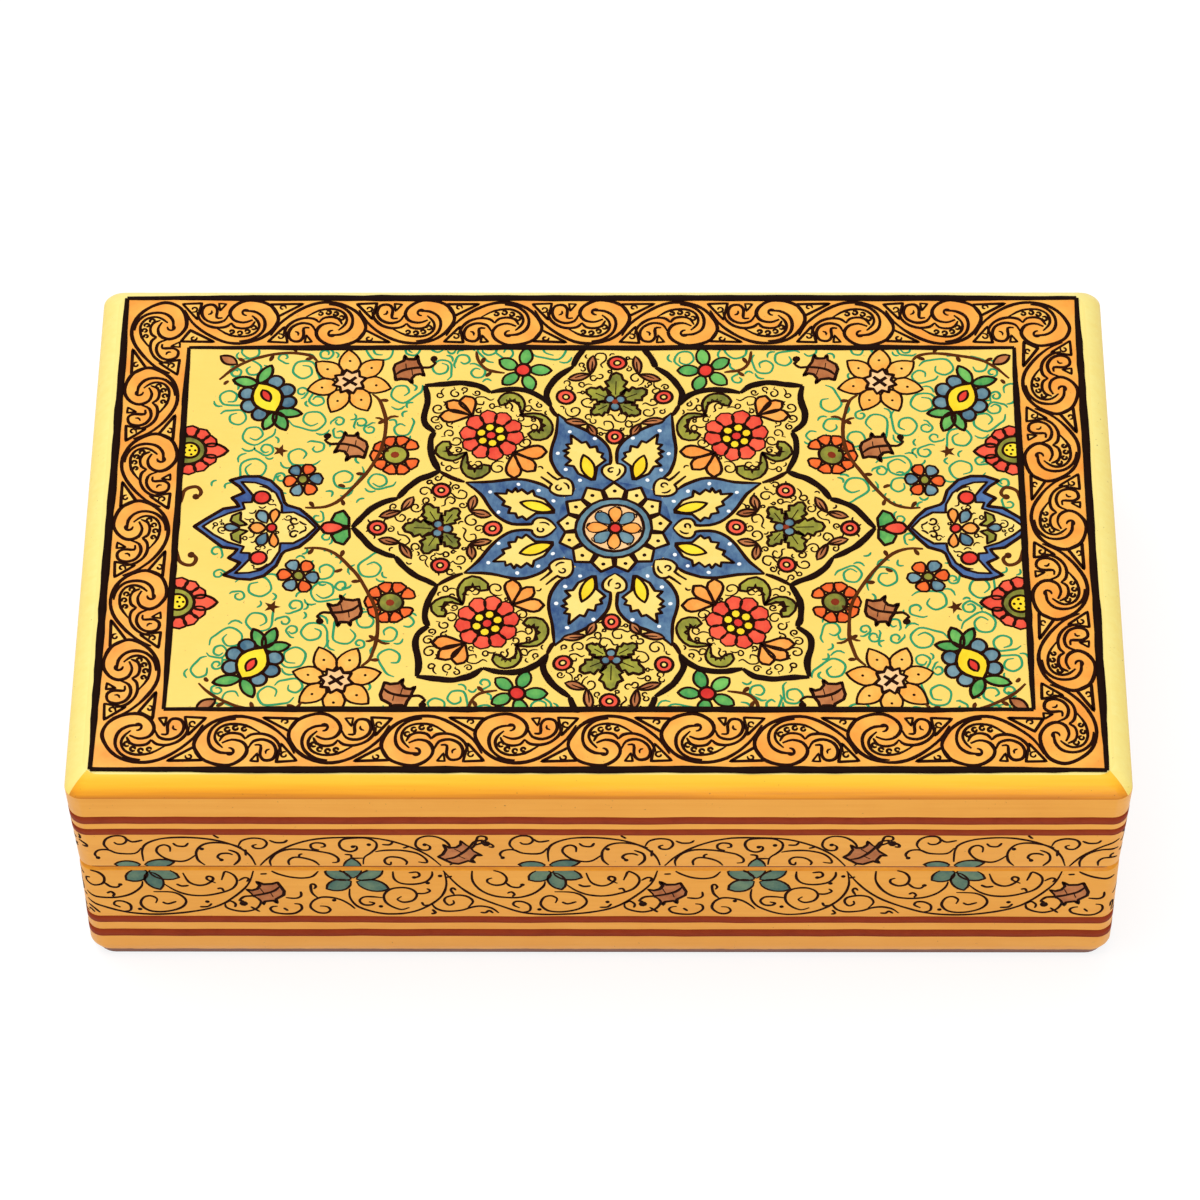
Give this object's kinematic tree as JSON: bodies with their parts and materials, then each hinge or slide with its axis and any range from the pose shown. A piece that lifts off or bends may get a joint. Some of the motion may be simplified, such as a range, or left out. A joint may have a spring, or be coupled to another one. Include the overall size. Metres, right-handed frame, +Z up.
{
  "type": "hinged papier mache box",
  "caption": "Low rectangular lacquered papier mache box over a nailed wooden carcass, with a bevelled lid on let-in butt hinges and a velvet lining.",
  "frame": {"origin": "centre of the underside, on the surface that the box stands on", "axes": "+X along the long front edge to the right, +Y to the hinged back, +Z up"},
  "size_m": [0.203, 0.127, 0.058],
  "materials": {
    "lacquered_paper": "clear gloss lacquer over hand-painted gesso on paper",
    "carcass_wood": "planed, unfinished",
    "velvet": "short-pile velvet on card",
    "underside_cloth": "flat woven cloth, glued",
    "hinge_brass": "tumbled, lightly tarnished",
    "nail_steel": "plain drawn wire"
  },
  "bodies": {
    "base": {"base_front_board": "carcass_wood", "base_back_board": "carcass_wood", "base_left_board": "carcass_wood", "base_right_board": "carcass_wood", "base_floor_board": "carcass_wood", "base_corner_nails": "nail_steel", "base_floor_nails": "nail_steel", "base_paper_skin": "lacquered_paper", "underside_cloth": "underside_cloth", "base_floor_pad": "velvet", "base_front_lining": "velvet", "base_back_lining": "velvet", "base_left_lining": "velvet", "base_right_lining": "velvet", "left_hinge_base_leaf": "hinge_brass", "left_hinge_pin": "hinge_brass", "right_hinge_base_leaf": "hinge_brass", "right_hinge_pin": "hinge_brass", "hinge_base_screws": "hinge_brass"},
    "lid": {"lid_front_board": "carcass_wood", "lid_back_board": "carcass_wood", "lid_left_board": "carcass_wood", "lid_right_board": "carcass_wood", "lid_top_board": "carcass_wood", "lid_corner_nails": "nail_steel", "lid_top_nails": "nail_steel", "lid_paper_skin": "lacquered_paper", "lid_ceiling_pad": "velvet", "lid_front_lining": "velvet", "lid_back_lining": "velvet", "lid_left_lining": "velvet", "lid_right_lining": "velvet", "left_hinge_lid_leaf": "hinge_brass", "right_hinge_lid_leaf": "hinge_brass", "hinge_lid_screws": "hinge_brass"}
  },
  "joints": [
    {"name": "lid_hinge", "type": "hinge", "parent": "base", "child": "lid", "pos_m": [0, 0.0617, 0.031], "axis": [-1, 0, 0], "range_deg": [0, 100]}
  ]
}
